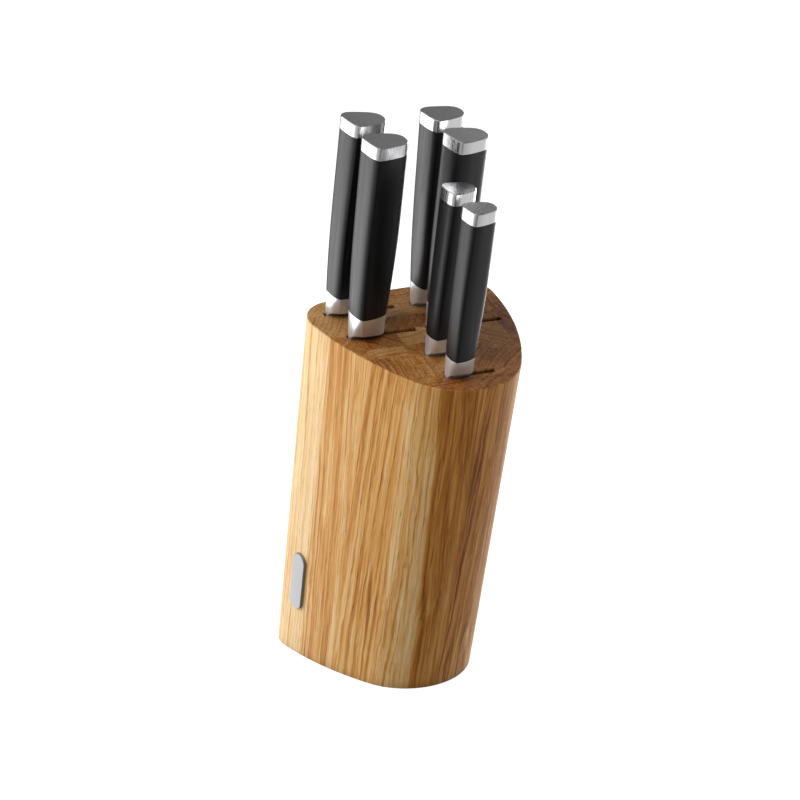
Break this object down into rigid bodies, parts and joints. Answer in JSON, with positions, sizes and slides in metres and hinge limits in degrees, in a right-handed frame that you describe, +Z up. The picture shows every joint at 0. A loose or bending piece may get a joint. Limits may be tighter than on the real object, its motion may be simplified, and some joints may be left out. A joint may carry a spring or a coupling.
{
  "type": "knife block with knives",
  "caption": "Leaning rounded-triangle oak block of glued staves, holding kitchen knives with black grips and steel bolsters and caps in parallel slots.",
  "frame": {"origin": "bottom centre of the whole object, on the plane of the undersides of the feet", "axes": "+Z up, +X to the right along the slots, -Y towards the user, the way the block leans"},
  "size_m": [0.1362, 0.2144, 0.3888],
  "materials": {
    "oak": "oiled, fine open grain",
    "satin_steel": "satin ground",
    "blade_steel": "fine ground",
    "black_grip": "satin laminate with a faint grain",
    "badge_steel": "satin, blank",
    "adhesive": "matte tape",
    "rubber": "matte",
    "screw_steel": "zinc plated"
  },
  "bodies": {
    "block": {"badge_pad": "adhesive", "badge_plate": "badge_steel", "foot_screws": "screw_steel", "front_stave_left": "oak", "front_stave_middle": "oak", "front_stave_right": "oak", "lower_column_left": "oak", "lower_column_right": "oak", "lower_stave_front_left": "oak", "lower_stave_front_middle": "oak", "lower_stave_rear_left": "oak", "lower_stave_rear_middle": "oak", "lower_stave_right": "oak", "nose_stave_left": "oak", "nose_stave_right": "oak", "rear_stave_left": "oak", "rear_stave_middle": "oak", "rear_stave_right": "oak", "row_1_strip_left": "oak", "row_1_strip_middle": "oak", "row_1_strip_right": "oak", "row_2_strip_left": "oak", "row_2_strip_middle": "oak", "row_2_strip_right": "oak", "row_3_strip_left": "oak", "row_3_strip_right": "oak", "row_4_strip_left": "oak", "row_4_strip_right": "oak", "rubber_feet": "rubber", "upper_column_left": "oak", "upper_column_right": "oak", "upper_stave_left": "oak", "upper_stave_rear": "oak", "upper_stave_right": "oak"},
    "bread_knife": {"bread_blade": "blade_steel", "bread_bolster": "satin_steel", "bread_end_cap": "satin_steel", "bread_grip": "black_grip"},
    "carving_knife": {"carving_blade": "blade_steel", "carving_bolster": "satin_steel", "carving_end_cap": "satin_steel", "carving_grip": "black_grip"},
    "chef_knife": {"chef_blade": "blade_steel", "chef_bolster": "satin_steel", "chef_end_cap": "satin_steel", "chef_grip": "black_grip"},
    "santoku_knife": {"santoku_blade": "blade_steel", "santoku_bolster": "satin_steel", "santoku_end_cap": "satin_steel", "santoku_grip": "black_grip"},
    "utility_knife": {"utility_blade": "blade_steel", "utility_bolster": "satin_steel", "utility_end_cap": "satin_steel", "utility_grip": "black_grip"},
    "paring_knife": {"paring_blade": "blade_steel", "paring_bolster": "satin_steel", "paring_end_cap": "satin_steel", "paring_grip": "black_grip"}
  },
  "joints": [
    {"name": "bread_draw", "type": "slide", "parent": "block", "child": "bread_knife", "axis": [0, -0.2588, 0.9659], "range_m": [0, 0.22]},
    {"name": "carving_draw", "type": "slide", "parent": "block", "child": "carving_knife", "axis": [0, -0.2588, 0.9659], "range_m": [0, 0.22]},
    {"name": "chef_draw", "type": "slide", "parent": "block", "child": "chef_knife", "axis": [0, -0.2588, 0.9659], "range_m": [0, 0.22]},
    {"name": "santoku_draw", "type": "slide", "parent": "block", "child": "santoku_knife", "axis": [0, -0.2588, 0.9659], "range_m": [0, 0.195]},
    {"name": "utility_draw", "type": "slide", "parent": "block", "child": "utility_knife", "axis": [0, -0.2588, 0.9659], "range_m": [0, 0.16]},
    {"name": "paring_draw", "type": "slide", "parent": "block", "child": "paring_knife", "axis": [0, -0.2588, 0.9659], "range_m": [0, 0.11]}
  ]
}
